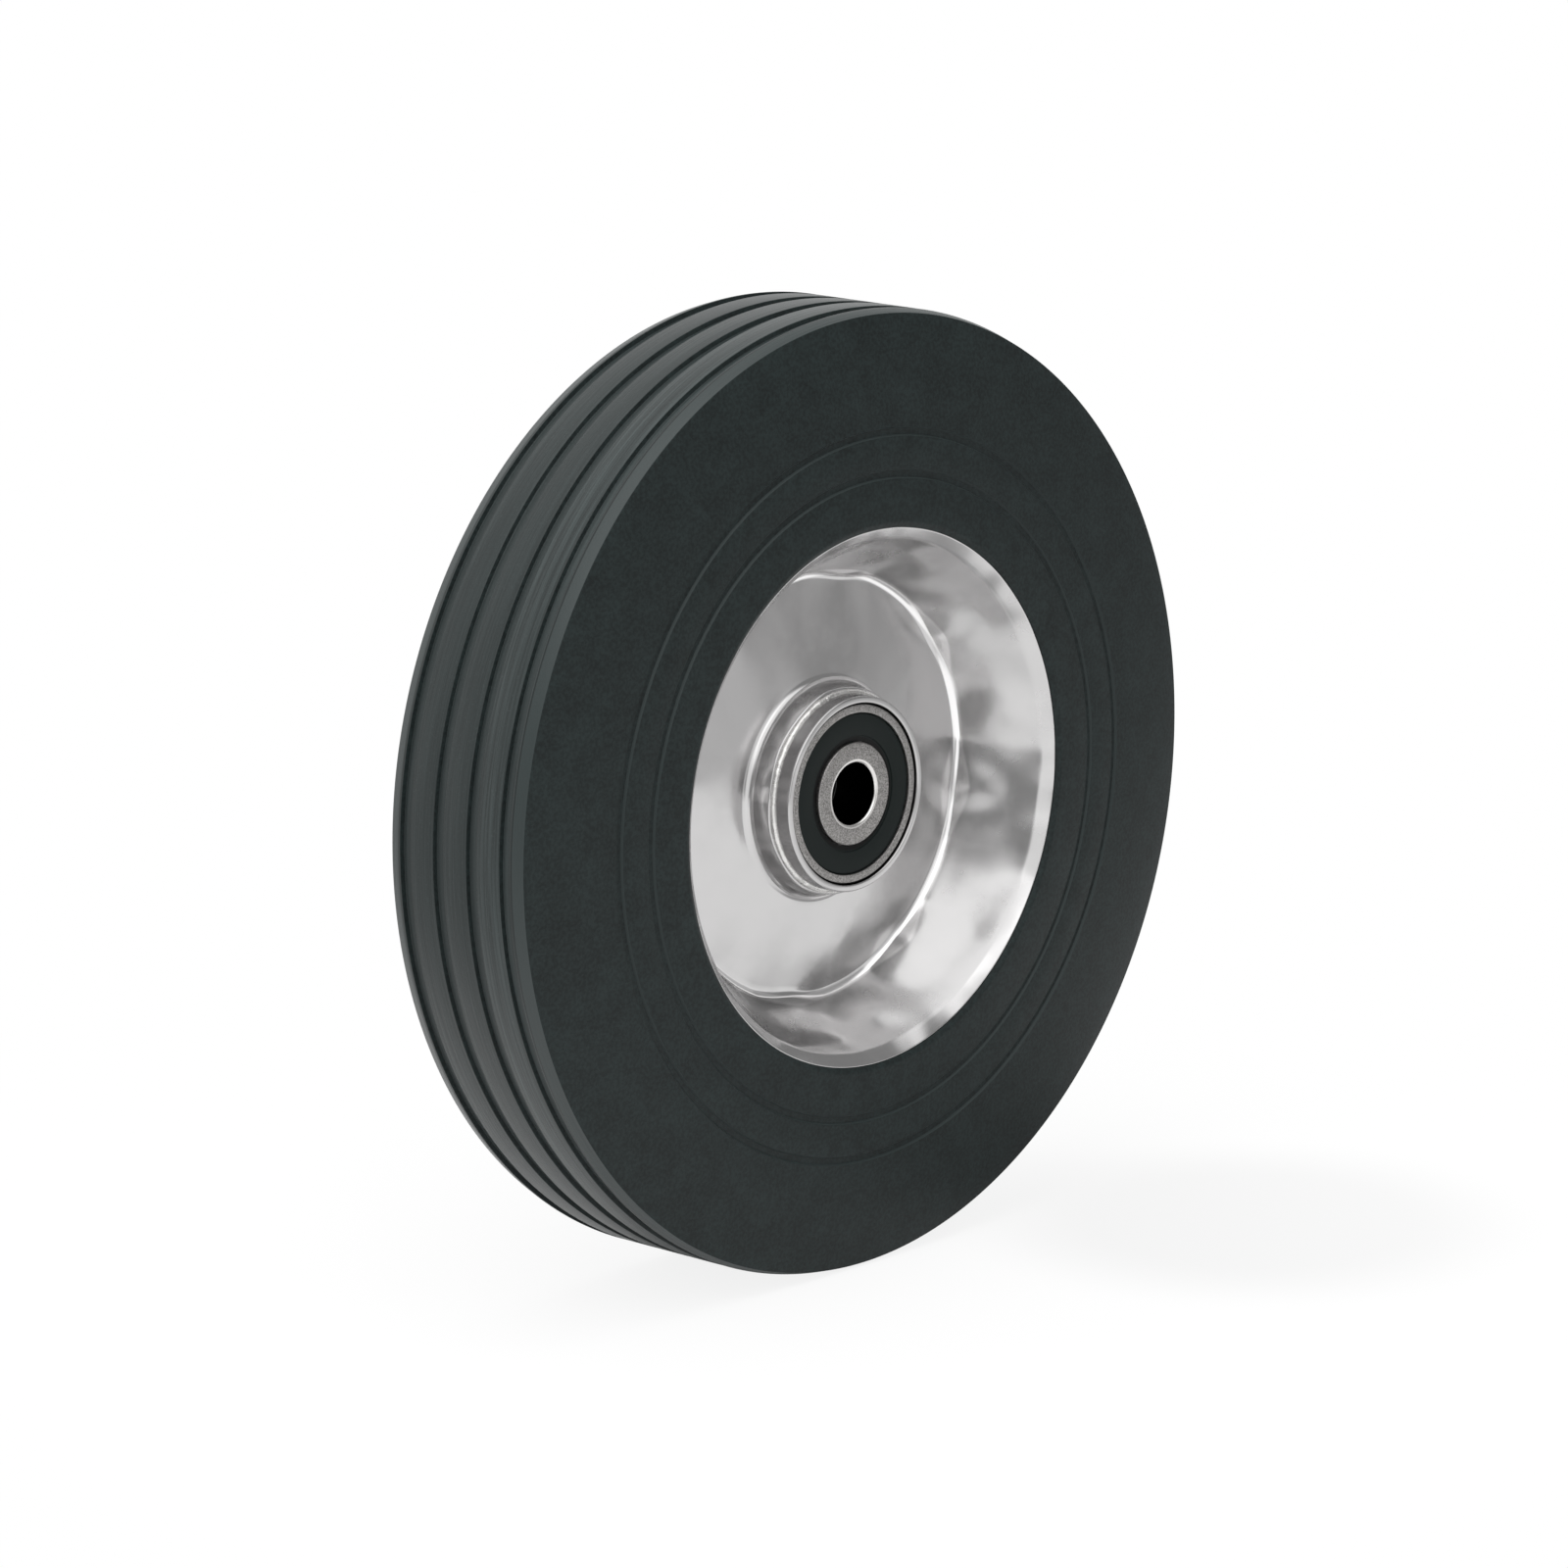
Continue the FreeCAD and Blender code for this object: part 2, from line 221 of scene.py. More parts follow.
# A MapRange node takes a source, the two values it runs between and the two that it gives, or else 0 and 1.
eased = {"interpolation_type": "SMOOTHSTEP"}
plated, tree, shader, coords = new_material("bright plated pressed steel")
radius = off_axis(tree, coords)
on_wall = add_node(tree, "MapRange", radius, (bend_radius - 2) * MM, (bend_radius + 4) * MM, **eased)
on_neck = add_node(tree, "MapRange", radius, (neck_foot_radius + 1) * MM, neck_foot_radius * MM, **eased)
neck_draw = add_node(tree, "MapRange", on_neck, 0, 1, 0, neck_share, **eased)
drawn = add_node(tree, "Math", on_wall, neck_draw, operation="MAXIMUM")
waviness = add_node(tree, "MapRange", drawn, 0, 1, disc_waviness, 1, **eased)
waves = add_node(tree, "TexNoise", coords, Scale=1 / (wave_size * MM), Detail=0, Roughness=0.4)
wave_bump = add_node(tree, "Bump", Height=waves, Strength=waviness, Distance=wave_depth * MM)
marks = add_node(tree, "TexNoise", coords, Scale=1 / (mark_size * MM), Detail=3, Roughness=0.5)
mark_bump = add_node(tree, "Bump", Height=marks, Strength=0.1, Distance=mark_depth * MM, Normal=wave_bump)
tree.links.new(mark_bump, shader.inputs["Normal"])
haze = add_node(tree, "TexNoise", coords, Scale=1 / (haze_size * MM), Detail=4, Roughness=0.6)
veil = add_node(tree, "MapRange", haze, 0.3, 0.75, clear_roughness, hazy_roughness, **eased)
dull_wall = add_node(tree, "MapRange", on_wall, 0, 1, 0, wall_dulling, **eased)
dullness = add_node(tree, "Math", veil, dull_wall, operation="ADD")
tree.links.new(dullness, shader.inputs["Roughness"])
# Painted highlight: a thin band along the bend is painted near white.
past_disc = add_node(tree, "MapRange", radius, (bend_radius - 1.3) * MM, (bend_radius - 0.7) * MM, **eased)
below_wall = add_node(tree, "MapRange", radius, (bend_radius + 1.1) * MM, (bend_radius + 0.6) * MM, **eased)
bend_highlight = add_node(tree, "Math", past_disc, below_wall, operation="MULTIPLY")
# Painted shade: the neck and the tube inside it are a little darker than the disc.
sheet_colour = add_node(tree, "Mix", on_neck, linear("c9c8c8"), linear("c2c1c1"), data_type="RGBA")
plated_colour = add_node(tree, "Mix", bend_highlight, sheet_colour, linear("f2f1f1"), data_type="RGBA")
tree.links.new(plated_colour, shader.inputs["Base Color"])
shader.inputs["Specular Tint"].default_value = linear("e6e6e6")
shader.inputs["Metallic"].default_value = 1.0

dish_back = [(*point, setback) for point, setback in zip(parallel(dish_face, sheet), back_setbacks)]
for name, side in both_sides:
    dish_mesh = turned_mesh(on_side(dish_face + dish_back[::-1], side), dish_steps)
    long_edges = [edge for edge in dish_mesh.edges if edge.calc_length() > long_run * MM]
    bmesh.ops.subdivide_edges(dish_mesh, edges=long_edges, cuts=long_run_cuts, use_grid_fill=True)
    press_dents(dish_mesh, side)
    finished_piece(f"{name}_dish", dish_mesh, plated, "wheel", "plated_steel", f"{name}_hub_disc")

# Tyre: one solid ring of black rubber, moulded in a two-part mould and gripped by the hub's dishes.
# Four grooves run round its tread, its shoulders are cut at a slant, and two narrow channels run
# round each side.
tread_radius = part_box("tyre")[1].x / MM
bead_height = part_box("tyre")[1].y / MM
seat_gap = 0.1
seat_rows = 10
bore_radius = 58.0
bead_width = 1.4
side_flat = 26.0
side_fall = 1.4
side_crown = 0.75
shoulder_height = 22.7
shoulder_drop = 1.0
tread_half_width = 19.5
groove_places = (17.1, 5.7)
channel_places = (12.3, 23.0)
# Mouth, floor, depth, and the rounding of the lips and of the floor's corners
groove_section = (3.6, 3.0, 1.2, 0.15, 0.1)
channel_section = (2.4, 1.5, 0.7, 0.08, 0.06)
tyre_steps = 360

lip_seat, flare_seat, bend_seat = parallel(dish_face[:3], sheet + seat_gap)
bore_share = (bore_radius - bend_seat.x) / (flare_seat.x - bend_seat.x)
bore_corner = bend_seat.lerp(flare_seat, bore_share)
bead = Vector((lip_radius + bead_width, bead_height))
side_foot = Vector((lip_radius + side_flat, bead_height - side_fall))
side_edge = Vector((tread_radius - shoulder_drop, shoulder_height))
crown = (side_foot + side_edge) / 2 + Vector((0, side_crown))
outwards = (side_foot - bead).normalized()


def groove(middle, run, mouth, floor, depth, lip, foot):
    """Corners of a groove on an outline that runs past its middle, with the depth on the right of the run."""
    into = Vector((run.y, -run.x)) * depth
    return [
        (*(middle - run * mouth / 2), lip),
        (*(middle - run * floor / 2 + into), foot),
        (*(middle + run * floor / 2 + into), foot),
        (*(middle + run * mouth / 2), lip),
    ]


seat_points = [bore_corner.lerp(flare_seat, row / seat_rows) for row in range(seat_rows)]
tyre_half = [(*point, 0) for point in seat_points] + [
    (*flare_seat, 1),
    (*lip_seat, 0),
    (lip_radius + seat_gap, lip_height, 0),
    (*bead, 0.5),
]
for place in channel_places:
    tyre_half += groove(bead + outwards * place, outwards, *channel_section)
tyre_half += [
    (*side_foot, 2),
    (*crown, 9),
    (*side_edge, 0.2),
    (tread_radius, tread_half_width, 0.5),
]
for place in groove_places:
    tyre_half += groove(Vector((tread_radius, place)), Vector((0, -1)), *groove_section)
tyre_outline = tyre_half + on_side(tyre_half[::-1], -1)

# Moulded carbon-black rubber: nearly black with a cool green cast, matt and cloudy, with a fine grain, drawn
# coarser than it is so that it shows. The steep channel walls are painted lighter all round, as a painted
# highlight. The tread has been buffed, so it is greyer and glossier, with fine streaks that run round the
# wheel, more of them towards the front, and a painted shade line where its ribs meet the slanted shoulders.
cloud_size = 9
cloud_share = 0.4
grain_size = 0.9
grain_share = 0.6
streak_size = 0.9
streak_squeeze = 0.015
rear_scuffing = 0.35
speck_size = 0.6
speck_share = 0.5
groove_dust = 0.25
relief = 0.1
rubber, tree, shader, coords = new_material("moulded black rubber")
across = add_node(tree, "VectorMath", coords, (0, 1, 0), operation="DOT_PRODUCT")
from_middle = add_node(tree, "Math", across, operation="ABSOLUTE")
inside_edge = (shoulder_height - 0.15) * MM
on_tread = add_node(tree, "MapRange", from_middle, shoulder_height * MM, inside_edge, **eased)
true_normal = tree.nodes.new("ShaderNodeNewGeometry").outputs["True Normal"]
slant = add_node(tree, "VectorMath", true_normal, (0, 1, 0), operation="DOT_PRODUCT")
sideways = add_node(tree, "Math", slant, operation="ABSOLUTE")
faces_out = add_node(tree, "MapRange", sideways, 0.85, 0.75, **eased)
buffed = add_node(tree, "Math", on_tread, faces_out, operation="MULTIPLY")

clouds = add_node(tree, "TexNoise", coords, Scale=1 / (cloud_size * MM), Detail=5, Roughness=0.6)
grain = add_node(tree, "TexNoise", coords, Scale=1 / (grain_size * MM), Detail=3, Roughness=0.6)
cloudy = add_node(tree, "MapRange", clouds, 0.3, 0.75, 0, cloud_share, **eased)
grainy = add_node(tree, "MapRange", grain, 0.36, 0.64, 0, grain_share, **eased)
blotches = add_node(tree, "Math", cloudy, grainy, operation="ADD")
side_colour = add_node(tree, "Mix", blotches, linear("0f1515"), linear("1e2727"), data_type="RGBA")
# Painted highlight: the steep channel walls are painted lighter.
channel_wall_highlight = add_node(tree, "MapRange", sideways, 0.75, 0.6, **eased)
moulded_colour = add_node(tree, "Mix", channel_wall_highlight, side_colour, linear("282f2f"), data_type="RGBA")

squeeze = (streak_squeeze, 1, streak_squeeze)
streak_space = add_node(tree, "VectorMath", coords, squeeze, operation="MULTIPLY")
streaks = add_node(tree, "TexNoise", streak_space, Scale=1 / (streak_size * MM), Detail=4, Roughness=0.65)
streaky = add_node(tree, "MapRange", streaks, 0.35, 0.72, **eased)
scuffing = add_node(tree, "MapRange", across, -4 * MM, -9 * MM, rear_scuffing, 1, **eased)
scuffs = add_node(tree, "Math", streaky, scuffing, operation="MULTIPLY")
specks = add_node(tree, "TexNoise", coords, Scale=1 / (speck_size * MM), Detail=2, Roughness=0.6)
speckled = add_node(tree, "MapRange", specks, 0.55, 0.8, 0, speck_share, **eased)
dusted = add_node(tree, "Math", scuffs, speckled, operation="ADD")
rib_colour = add_node(tree, "Mix", dusted, linear("1a2121"), linear("333b3b"), data_type="RGBA")

shoulder_start = (tread_half_width - 0.1) * MM
shoulder_full = (tread_half_width + 0.1) * MM
on_shoulder = add_node(tree, "MapRange", from_middle, shoulder_start, shoulder_full, **eased)
floor_start = (tread_radius - 0.9) * MM
floor_full = (tread_radius - 1.1) * MM
radius = off_axis(tree, coords)
in_groove = add_node(tree, "MapRange", radius, floor_start, floor_full, 0, groove_dust, **eased)
dusty = add_node(tree, "Math", on_shoulder, in_groove, operation="MAXIMUM")
tread_colour = add_node(tree, "Mix", dusty, rib_colour, linear("2c3333"), data_type="RGBA")

# Painted shade: a thin dark line where each rib turns down to its slanted shoulder.
shade_line_start = (tread_half_width - 0.35) * MM
shade_line_full = (tread_half_width - 0.2) * MM
shade_line_end = (tread_half_width + 0.05) * MM
shade_line_gone = (tread_half_width + 0.2) * MM
past_rib = add_node(tree, "MapRange", from_middle, shade_line_start, shade_line_full, **eased)
before_shoulder = add_node(tree, "MapRange", from_middle, shade_line_gone, shade_line_end, **eased)
shade_line = add_node(tree, "Math", past_rib, before_shoulder, operation="MULTIPLY")
shade_lined_colour = add_node(tree, "Mix", shade_line, tread_colour, linear("141a1a"), data_type="RGBA")
rubber_colour = add_node(tree, "Mix", buffed, moulded_colour, shade_lined_colour, data_type="RGBA")
tree.links.new(rubber_colour, shader.inputs["Base Color"])

grain_bump = add_node(tree, "Bump", Height=grain, Strength=0.3, Distance=relief * MM)
streak_bump = add_node(tree, "Bump", Height=streaks, Strength=buffed, Distance=relief * MM, Normal=grain_bump)
tree.links.new(streak_bump, shader.inputs["Normal"])
rubber_roughness = add_node(tree, "MapRange", buffed, 0, 1, 0.5, 0.36, **eased)
tree.links.new(rubber_roughness, shader.inputs["Roughness"])
rubber_gloss = add_node(tree, "MapRange", buffed, 0, 1, 0.22, 0.45, **eased)
tree.links.new(rubber_gloss, shader.inputs["Specular IOR Level"])

tyre_mesh = turned_mesh(tyre_outline, tyre_steps)
for _, side in both_sides:
    press_dents(tyre_mesh, side)
finished_piece("solid_tyre", tyre_mesh, rubber, "wheel", "tyre_rubber", "tyre")

# Hub tube: a length of thick steel tube, turned to length and bored at both ends for the bearings.
# It passes through the necks of both discs, is welded to them and is plated with them.
tube_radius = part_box("hub_tube")[1].x / MM
tube_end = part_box("hub_tube")[1].y / MM
seat_radius = 23.52
seat_floor = 5.0
seat_shoulder = 2.2
tube_steps = 256
tube_half = [
    (seat_radius - seat_shoulder, seat_floor, 0),
    (seat_radius, seat_floor, 0),
    (seat_radius, tube_end, 0.3),
    (tube_radius, tube_end, 0.5),
]
tube_mesh = turned_mesh(tube_half + on_side(tube_half[::-1], -1), tube_steps)
finished_piece("bearing_tube", tube_mesh, plated, "wheel", "plated_steel", "hub_tube")

# Weld beads: a thin run of weld in the corner where each neck's edge meets the tube, uneven along its
# length, brushed over and plated with the rest.
weld_leg = 1.0
weld_gap = 0.02
weld_foot = tube_radius + weld_gap
weld_outline = [
    (weld_foot, neck_height, 0),
    (weld_foot + weld_leg, neck_height, 0),
    (weld_foot + weld_leg * 0.9, neck_height + weld_leg * 0.5, 0.25),
    (weld_foot + weld_leg * 0.4, neck_height + weld_leg * 0.95, 0.25),
    (weld_foot, neck_height + weld_leg, 0),
]
# Plated weld metal: bright and lumpy, with ripples as long as the puddles that the welder laid.
ripple_size = 3
ripple_depth = 0.6
weld, tree, shader, coords = new_material("plated weld metal")
ripples = add_node(tree, "TexNoise", coords, Scale=1 / (ripple_size * MM), Detail=3, Roughness=0.5)
ripple_bump = add_node(tree, "Bump", Height=ripples, Strength=0.7, Distance=ripple_depth * MM)
tree.links.new(ripple_bump, shader.inputs["Normal"])
weld_roughness = add_node(tree, "MapRange", ripples, 0.3, 0.7, 0.15, 0.35, **eased)
tree.links.new(weld_roughness, shader.inputs["Roughness"])
shader.inputs["Base Color"].default_value = linear("dcdbd9")
shader.inputs["Metallic"].default_value = 1.0
for name, side in both_sides:
    weld_mesh = turned_mesh(on_side(weld_outline, side), tube_steps)
    finished_piece(f"{name}_weld_run", weld_mesh, weld, "wheel", "plated_steel", f"{name}_weld_bead")

# Bearing rings: hardened steel, turned, then ground on their faces, with rounded outer edges and a round
# groove in which the balls run. The outer ring is pressed into the tube, and the inner ring slides on
# the axle.
ring_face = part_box("rear_outer_ring")[1].y / MM
ring_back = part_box("rear_outer_ring")[0].y / MM
ring_middle = (ring_face + ring_back) / 2
ring_half = (ring_face - ring_back) / 2
outer_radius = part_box("rear_outer_ring")[1].x / MM
axle_radius = 7.95
mouth_radius = 20.95
groove_radius = 21.65
land_radius = 13.33
pitch_radius = 16.75
ring_space = 5.0
race_gap = 0.06
race_steps = 8
ball_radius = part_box("rear_ball_1")[1].y / MM - ring_middle
race_reach = ball_radius + race_gap
race_turn = math.acos(ring_space / 2 / race_reach)
race_turns = [race_turn * (step + 0.5) / race_steps for step in range(race_steps)] + [race_turn]
race_arc = [(race_reach * math.cos(turn), race_reach * math.sin(turn)) for turn in race_turns]
seal_recess = 0.5
seal_thickness = 1.0
seal_step = 0.35
seal_fit = 0.08
lip_gap = 0.12
seal_face = ring_half - seal_recess
seal_back = seal_face - seal_thickness
seal_ledge = seal_face - seal_step
ring_steps = 192
outer_ring_half = [(pitch_radius + away, height, 0) for away, height in race_arc] + [
    (pitch_radius + ring_space / 2, seal_back - seal_fit, 0),
    (groove_radius, seal_back - seal_fit, 0),
    (groove_radius, seal_ledge + seal_fit, 0),
    (mouth_radius, seal_ledge + seal_fit, 0),
    (mouth_radius, ring_half, 0.15),
    (outer_radius, ring_half, 0.9),
]
inner_ring_half = [
    (axle_radius, ring_half, 0.8),
    (land_radius, ring_half, 0.45),
    (land_radius, seal_back - lip_gap, 0),
    (pitch_radius - ring_space / 2, seal_back - lip_gap, 0),
] + [(pitch_radius - away, height, 0) for away, height in race_arc[::-1]]

# Ground bearing steel: warm grey and satin, with the sparkle of the grinding grit on its faces, drawn
# coarser than it is so that it shows. The rounded outer edge is near black, partly the dark skin of the
# hardening that it keeps as it isn't ground and partly painted shade in the gap to the tube. The bore is
# painted near black as painted shade, and the edge of the bore is polished by the axle.
grit_size = 0.35
grit_depth = 0.05
ground, tree, shader, coords = new_material("ground bearing steel")
radius = off_axis(tree, coords)
grit = add_node(tree, "TexNoise", coords, Scale=1 / (grit_size * MM), Detail=2, Roughness=0.7)
gritty = add_node(tree, "MapRange", grit, 0.3, 0.7, **eased)
face_colour = add_node(tree, "Mix", gritty, linear("6c6a69"), linear("b2b0ae"), data_type="RGBA")
# Painted shade: the bore and the rounded outer edge are near black; the edge's dark is also unground skin.
in_bore = add_node(tree, "MapRange", radius, (axle_radius + 0.15) * MM, (axle_radius + 0.05) * MM, **eased)
at_rim = add_node(tree, "MapRange", radius, (outer_radius - 0.65) * MM, (outer_radius - 0.45) * MM, **eased)
skin_and_painted_shade = add_node(tree, "Math", in_bore, at_rim, operation="MAXIMUM")
on_edge = add_node(tree, "MapRange", radius, (axle_radius + 1.1) * MM, (axle_radius + 0.9) * MM, **eased)
worn_colour = add_node(tree, "Mix", on_edge, face_colour, linear("e0dedc"), data_type="RGBA")
ring_colour = add_node(tree, "Mix", skin_and_painted_shade, worn_colour, linear("131313"), data_type="RGBA")
tree.links.new(ring_colour, shader.inputs["Base Color"])
grit_bump = add_node(tree, "Bump", Height=grit, Strength=0.4, Distance=grit_depth * MM)
tree.links.new(grit_bump, shader.inputs["Normal"])
ring_roughness = add_node(tree, "MapRange", on_edge, 0, 1, 0.42, 0.2, **eased)
tree.links.new(ring_roughness, shader.inputs["Roughness"])
shader.inputs["Metallic"].default_value = 1.0


def in_bearing(half, side):
    """Corners about a bearing's middle, both ways, moved to that bearing's place."""
    both = half + on_side(half[::-1], -1)
    return [(radius, side * (height + ring_middle), setback) for radius, height, setback in both]


for name, side in both_sides:
    mesh = turned_mesh(in_bearing(outer_ring_half, side), ring_steps)
    finished_piece(f"{name}_outer_race", mesh, ground, "wheel", "bearing_steel", f"{name}_outer_ring")
    mesh = turned_mesh(in_bearing(inner_ring_half, side), ring_steps)
    finished_piece(f"{name}_inner_race", mesh, ground, "inner_races", "bearing_steel", f"{name}_inner_ring")

# Seals: black rubber moulded over a thin steel washer, snapped into the outer ring's groove.
# A stepped lip at the inner edge runs on the inner ring.
lip_edge = land_radius + lip_gap
lip_width = 1.6
seal_outline = [
    (lip_edge, seal_back, 0),
    (lip_edge, seal_ledge, 0.1),
    (lip_edge + lip_width, seal_ledge, 0.1),
    (lip_edge + lip_width, seal_face, 0.12),
    (mouth_radius - seal_fit - seal_step, seal_face, 0.15),
    (mouth_radius - seal_fit, seal_ledge, 0.1),
    (groove_radius - seal_fit, seal_ledge, 0),
    (groove_radius - seal_fit, seal_back, 0),
]
# Moulded nitrile rubber: black with a green cast, smoother than the tyre, with a soft sheen. The lip lies
# in its own shade and is blacker.
seal_speck_size = 0.5
seal_relief = 0.05
nitrile, tree, shader, coords = new_material("moulded nitrile rubber")
specks = add_node(tree, "TexNoise", coords, Scale=1 / (seal_speck_size * MM), Detail=4, Roughness=0.5)
seal_colour = add_node(tree, "Mix", specks, linear("0a100f"), linear("111918"), data_type="RGBA")
lip_start = (lip_edge + 1.3) * MM
lip_full = (lip_edge + 1.1) * MM
at_lip = add_node(tree, "MapRange", off_axis(tree, coords), lip_start, lip_full, **eased)
lip_colour = add_node(tree, "Mix", at_lip, seal_colour, linear("030404"), data_type="RGBA")
tree.links.new(lip_colour, shader.inputs["Base Color"])
speck_bump = add_node(tree, "Bump", Height=specks, Strength=0.1, Distance=seal_relief * MM)
tree.links.new(speck_bump, shader.inputs["Normal"])
shader.inputs["Roughness"].default_value = 0.5
shader.inputs["Specular IOR Level"].default_value = 0.16
for name, side in both_sides:
    for facing, way in (("outer", 1), ("inner", -1)):
        outline = [(radius, side * (way * height + ring_middle), setback)
                   for radius, height, setback in seal_outline]
        mesh = turned_mesh(outline, ring_steps)
        finished_piece(f"{name}_{facing}_lip_seal", mesh, nitrile, "wheel", "seal_rubber",
                       f"{name}_{facing}_seal")

# Balls, cages, rivets and spacer: hidden behind the seals, so they keep the CAD's own shapes.
# The balls are lapped chrome steel, the cages and their rivets are pressed from strip, and the spacer is
# painted black, as painted shade seen through the bore.

# Lapped ball steel: a near mirror, dimmed here and there by a film of grease.
film_size = 2
lapped, tree, shader, coords = new_material("lapped ball steel")
film = add_node(tree, "TexNoise", coords, Scale=1 / (film_size * MM), Detail=2, Roughness=0.5)
ball_roughness = add_node(tree, "MapRange", film, 0.2, 0.8, 0.05, 0.14, **eased)
tree.links.new(ball_roughness, shader.inputs["Roughness"])
shader.inputs["Base Color"].default_value = linear("cfcdca")
shader.inputs["Metallic"].default_value = 1.0

# Cold-rolled steel strip: satin and light grey, with the marks of the rolls.
roll_mark_size = 0.8
strip, tree, shader, coords = new_material("cold-rolled steel strip")
roll_marks = add_node(tree, "TexNoise", coords, Scale=1 / (roll_mark_size * MM), Detail=3, Roughness=0.5)
strip_roughness = add_node(tree, "MapRange", roll_marks, 0.2, 0.8, 0.25, 0.45, **eased)
tree.links.new(strip_roughness, shader.inputs["Roughness"])
shader.inputs["Base Color"].default_value = linear("b3afab")
shader.inputs["Metallic"].default_value = 1.0

# Black spacer tube: painted shade for the dark inside of the bore, dull and slightly uneven.
shade_mottle_size = 1.2
shade_black, tree, shader, coords = new_material("blackened steel tube")
shade_mottle = add_node(tree, "TexNoise", coords, Scale=1 / (shade_mottle_size * MM), Detail=3, Roughness=0.5)
bore_shade_colour = add_node(tree, "Mix", shade_mottle, linear("101010"), linear("1a1a1a"), data_type="RGBA")
tree.links.new(bore_shade_colour, shader.inputs["Base Color"])
shader.inputs["Roughness"].default_value = 0.6

for node_name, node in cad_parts.items():
    if node.hide_render:
        continue
    finish = strip
    if "ball" in node_name:
        finish = lapped
    elif node_name == "bearing_spacer":
        finish = shade_black
    node.data.materials.clear()
    node.data.materials.append(finish)

# Floor: a sheet of white paper under the wheel, which takes its shadow and is plain white to the camera
# further off. Greyer reaches of it, and a painted shadow at the front right, are what the polished dish
# mirrors.
# The floor's and the lamps' sizes are in metres.
floor_half = 0.9
floor_height = cad_box[0].z
# The direction of each greyer reach, where it starts and where it is full
grey_reaches = [
    ((1, -0.5, 0), -0.17, -0.43),
    ((1, 0, 0), 0.3, 0.52),
    ((-0.5, 1, 0), -0.62, -0.82),
]
painted_shadow_middle = (0.10, -0.07, floor_height)
painted_shadow_radius = 0.085
painted_shadow_core = 0.04
shadow_radius = 0.12
white_radius = 0.34
near_white = 0.86
mirrored_white = 0.15
floor_mesh = bmesh.new()
bmesh.ops.create_grid(floor_mesh, x_segments=1, y_segments=1, size=floor_half)
bmesh.ops.translate(floor_mesh, verts=floor_mesh.verts, vec=(0, 0, floor_height))
floor_data = bpy.data.meshes.new("floor")
floor_mesh.to_mesh(floor_data)
floor_mesh.free()
floor = bpy.data.objects.new("floor", floor_data)
bpy.context.scene.collection.objects.link(floor)

paper, tree, shader, coords = new_material("white paper sheet")
far_off = 0.0
for towards, start, full in grey_reaches:
    reach = add_node(tree, "VectorMath", coords, towards, operation="DOT_PRODUCT")
    fade = add_node(tree, "MapRange", reach, start, full, **eased)
    far_off = add_node(tree, "Math", far_off, fade, operation="MAXIMUM")
# Painted shadow: a grey spot on the paper at the wheel's front right.
from_painted_shadow = add_node(tree, "VectorMath", coords, painted_shadow_middle, operation="DISTANCE")
in_painted_shadow = add_node(tree, "MapRange", from_painted_shadow, painted_shadow_radius, painted_shadow_core, **eased)
sheet_tone = add_node(tree, "Mix", far_off, linear("e2e2e2"), linear("b0b0b0"), data_type="RGBA")
paper_colour = add_node(tree, "Mix", in_painted_shadow, sheet_tone, linear("8c8c8c"), data_type="RGBA")
tree.links.new(paper_colour, shader.inputs["Base Color"])
shader.inputs["Roughness"].default_value = 0.9

path = tree.nodes.new("ShaderNodeLightPath")
mirrored = add_node(tree, "Math", path.outputs["Is Glossy Ray"], mirrored_white, operation="MULTIPLY")
seen = add_node(tree, "Math", path.outputs["Is Camera Ray"], mirrored, operation="MAXIMUM")
from_wheel = add_node(tree, "VectorMath", coords, operation="LENGTH")
clear_of_wheel = add_node(tree, "MapRange", from_wheel, shadow_radius, white_radius, near_white, 1, **eased)
whiteness = add_node(tree, "Math", seen, clear_of_wheel, operation="MULTIPLY")
white = add_node(tree, "Emission", Strength=1.0)
paper_surface = add_node(tree, "MixShader", whiteness, shader.outputs[0], white)
tree.links.new(paper_surface, tree.nodes["Material Output"].inputs["Surface"])
floor_data.materials.append(paper)

# Studio light: a grey room that is plain white to the camera, with soft bright patches, the brightest
# overhead to the left, for the metal to mirror. Two large soft lamps on that side light the wheel, and the
# metal doesn't mirror them.
world = bpy.data.worlds.new("studio")
bpy.context.scene.world = world
world.use_nodes = True
tree = world.node_tree
background = tree.nodes["Background"]
background.inputs["Color"].default_value = (1, 1, 1, 1)
direction = tree.nodes.new("ShaderNodeTexCoord").outputs["Generated"]
room_level = 0.30
# Azimuth, elevation, degrees off it to which a patch is full and at which it is gone, and its strength
room_patches = [
    (-35, 62, 33, 52, 1.05),
    (-30, 5, 14, 28, 0.75),
    (4, 24, 14, 26, 0.6),
    (22, -2, 10, 24, 0.35),
    (46, -3, 8, 18, 0.07),
    (70, -4, 15, 17, 0.15),
    (180, 5, 45, 85, 0.6),
]


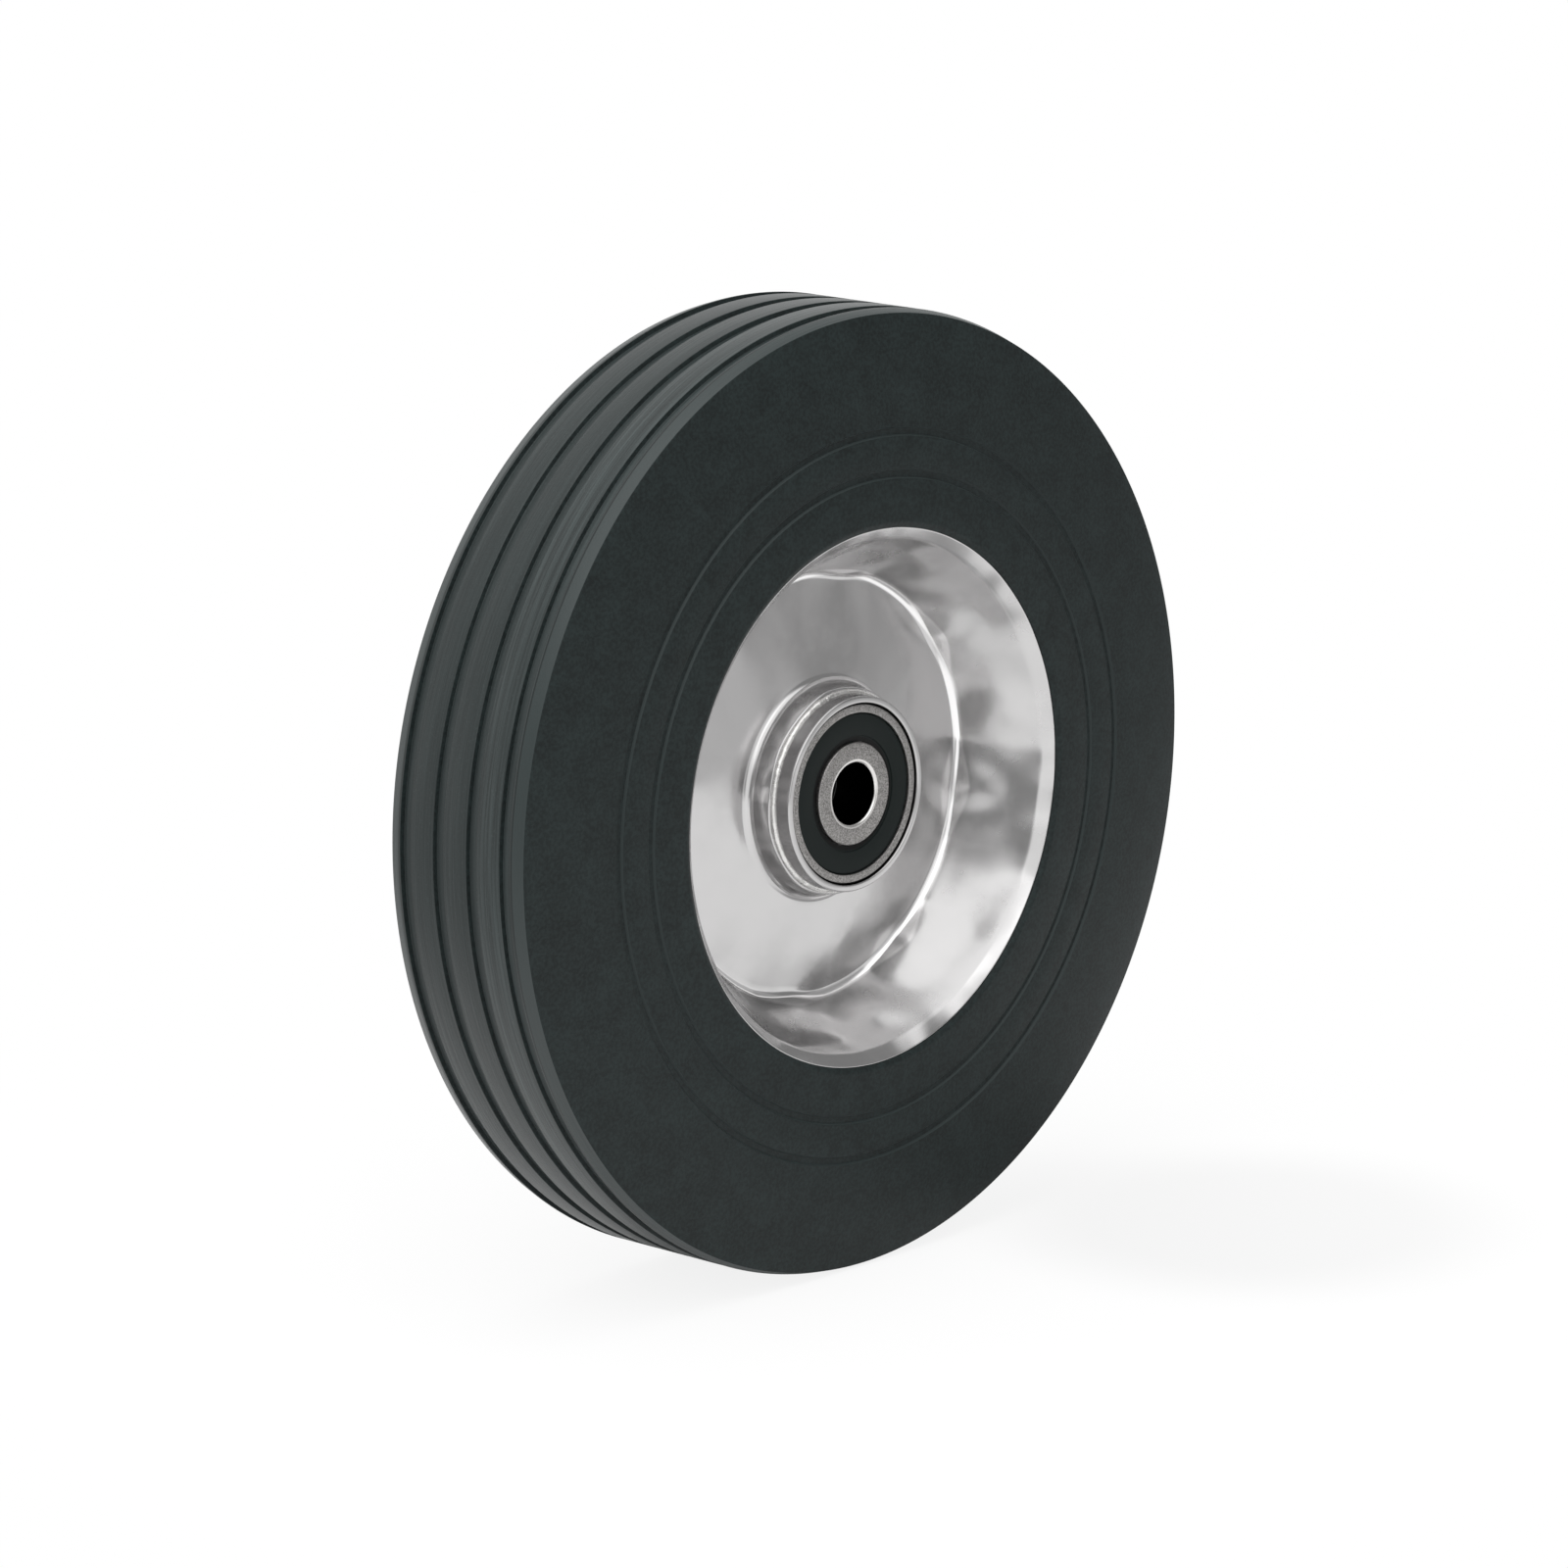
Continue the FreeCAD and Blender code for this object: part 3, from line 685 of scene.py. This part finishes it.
def pointing(azimuth, elevation):
    """Unit direction at degrees round from the front side towards the right, and up from the floor."""
    turn = math.radians(azimuth)
    rise = math.radians(elevation)
    return Vector((math.sin(turn) * math.cos(rise), -math.cos(turn) * math.cos(rise), math.sin(rise)))


level = room_level
for azimuth, elevation, full, gone, strength in room_patches:
    towards = pointing(azimuth, elevation)
    nearness = add_node(tree, "VectorMath", direction, towards, operation="DOT_PRODUCT")
    edge = math.cos(math.radians(gone))
    core = math.cos(math.radians(full))
    patch = add_node(tree, "MapRange", nearness, edge, core, 0, strength, **eased)
    level = add_node(tree, "Math", level, patch, operation="ADD")
path = tree.nodes.new("ShaderNodeLightPath")
brightness = add_node(tree, "Mix", path.outputs["Is Camera Ray"], level, 1.0, data_type="FLOAT")
tree.links.new(brightness, background.inputs["Strength"])


def soft_lamp(name, towards, distance, width, power):
    """Square soft lamp in a direction, facing the wheel."""
    lamp = bpy.data.lights.new(name, "AREA")
    lamp.shape = "SQUARE"
    lamp.size = width
    lamp.energy = power
    holder = bpy.data.objects.new(name, lamp)
    bpy.context.scene.collection.objects.link(holder)
    holder.location = towards * distance
    holder.rotation_mode = "QUATERNION"
    holder.rotation_quaternion = (-towards).to_track_quat("-Z", "Y")
    holder.visible_glossy = False


soft_lamp("left_softbox", pointing(-75, 40), distance=1.9, width=1.4, power=17)
soft_lamp("top_softbox", pointing(-60, 80), distance=1.8, width=1.4, power=14)

# Camera: a long lens looking at the front side from its left and a little above, at the distance and the
# angles that fit the photograph's ellipses, and aimed a little beside the wheel's centre.
camera_azimuth = -47.32
camera_elevation = 12.68
camera_distance = 1807 * MM
aim_right = -3.93 * MM
aim_up = -0.3 * MM
back = pointing(camera_azimuth, camera_elevation)
right = Vector((-back.y, back.x, 0)).normalized()
up = back.cross(right)
lens = bpy.data.cameras.new("camera")
lens.sensor_width = 36
lens.lens = 162
camera = bpy.data.objects.new("camera", lens)
bpy.context.scene.collection.objects.link(camera)
camera.location = right * aim_right + up * aim_up + back * camera_distance
camera.rotation_mode = "QUATERNION"
camera.rotation_quaternion = (-back).to_track_quat("-Z", "Y")
bpy.context.scene.camera = camera
bpy.context.scene.view_settings.view_transform = "Standard"

bpy.context.view_layer.update()
